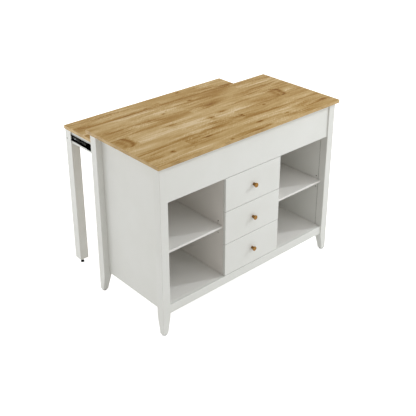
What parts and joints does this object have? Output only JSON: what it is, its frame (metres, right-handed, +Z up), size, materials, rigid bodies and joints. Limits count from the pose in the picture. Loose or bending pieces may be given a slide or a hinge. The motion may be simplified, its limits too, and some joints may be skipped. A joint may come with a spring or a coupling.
{
  "type": "kitchen island with slide-out table",
  "caption": "Kitchen island with open bays beside a centre stack of drawers, an oak-look top, and a table that slides out of the back on its own legs.",
  "frame": {"origin": "on the floor, under the centre of the island's outline with the table pulled out", "axes": "+X along the length, left to right seen from the drawers; drawers face -Y and the table slides out towards +Y; +Z up"},
  "size_m": [1.2, 0.85, 0.9],
  "materials": {
    "white_paint": "satin lacquer on board",
    "white_wrap": "matt vinyl-wrapped board",
    "oak_laminate": "satin oak-grain laminate",
    "brushed_brass": "brushed",
    "black_steel": "black electrocoat",
    "zinc_steel": "bright zinc",
    "grey_plastic": "moulded",
    "black_plastic": "moulded"
  },
  "bodies": {
    "cabinet": {"post_front_left": "white_paint", "glide_front_left": "grey_plastic", "post_front_right": "white_paint", "glide_front_right": "grey_plastic", "post_back_right": "white_paint", "glide_back_right": "grey_plastic", "post_back_left": "white_paint", "glide_back_left": "grey_plastic", "worktop": "oak_laminate", "end_panel_left": "white_paint", "end_panel_right": "white_paint", "divider_left": "white_paint", "divider_right": "white_paint", "shelf_left": "white_paint", "shelf_right": "white_paint", "fascia": "white_paint", "bottom_rail": "white_paint", "floor_panel": "white_paint", "ceiling_panel": "white_paint", "back_panel": "white_paint", "rear_rail": "white_paint", "drawer_top_guide_left": "zinc_steel", "drawer_top_guide_right": "zinc_steel", "drawer_middle_guide_left": "zinc_steel", "drawer_middle_guide_right": "zinc_steel", "drawer_bottom_guide_left": "zinc_steel", "drawer_bottom_guide_right": "zinc_steel", "table_slide_outer_left": "black_steel", "table_slide_outer_right": "black_steel"},
    "drawer_top": {"drawer_top_front": "white_paint", "drawer_top_sides": "white_wrap", "drawer_top_bottom_board": "white_wrap", "drawer_top_knob": "brushed_brass", "drawer_top_runner_left": "zinc_steel", "drawer_top_runner_right": "zinc_steel"},
    "drawer_middle": {"drawer_middle_front": "white_paint", "drawer_middle_sides": "white_wrap", "drawer_middle_bottom_board": "white_wrap", "drawer_middle_knob": "brushed_brass", "drawer_middle_runner_left": "zinc_steel", "drawer_middle_runner_right": "zinc_steel"},
    "drawer_bottom": {"drawer_bottom_front": "white_paint", "drawer_bottom_sides": "white_wrap", "drawer_bottom_bottom_board": "white_wrap", "drawer_bottom_knob": "brushed_brass", "drawer_bottom_runner_left": "zinc_steel", "drawer_bottom_runner_right": "zinc_steel"},
    "table": {"table_top": "oak_laminate", "table_back_apron": "white_paint", "table_front_rail": "white_paint", "table_leg_left": "white_paint", "table_side_apron_left": "white_paint", "table_slide_inner_left": "black_steel", "table_leg_right": "white_paint", "table_side_apron_right": "white_paint", "table_slide_inner_right": "black_steel"},
    "slide_middles": {"table_slide_middle_left": "black_steel", "table_slide_middle_right": "black_steel"},
    "leveller_left": {"leveller_left": "black_plastic"},
    "leveller_right": {"leveller_right": "black_plastic"}
  },
  "joints": [
    {"name": "drawer_top_slide", "type": "slide", "parent": "cabinet", "child": "drawer_top", "axis": [0, -1, 0], "range_m": [0, 0.28]},
    {"name": "drawer_middle_slide", "type": "slide", "parent": "cabinet", "child": "drawer_middle", "axis": [0, -1, 0], "range_m": [0, 0.28]},
    {"name": "drawer_bottom_slide", "type": "slide", "parent": "cabinet", "child": "drawer_bottom", "axis": [0, -1, 0], "range_m": [0, 0.28]},
    {"name": "table_slide", "type": "slide", "parent": "cabinet", "child": "table", "axis": [0, 1, 0], "range_m": [-0.3, 0]},
    {"name": "slide_middles_travel", "type": "slide", "parent": "cabinet", "child": "slide_middles", "axis": [0, 1, 0], "range_m": [-0.15, 0]},
    {"name": "leveller_left_turn", "type": "hinge", "parent": "table", "child": "leveller_left", "pos_m": [-0.509, 0.395, 0.015], "axis": [0, 0, 1], "continuous": true},
    {"name": "leveller_right_turn", "type": "hinge", "parent": "table", "child": "leveller_right", "pos_m": [0.509, 0.395, 0.015], "axis": [0, 0, 1], "continuous": true}
  ],
  "couplings": [
    {"joint": "slide_middles_travel", "follows": "table_slide", "ratio": 0.5}
  ]
}
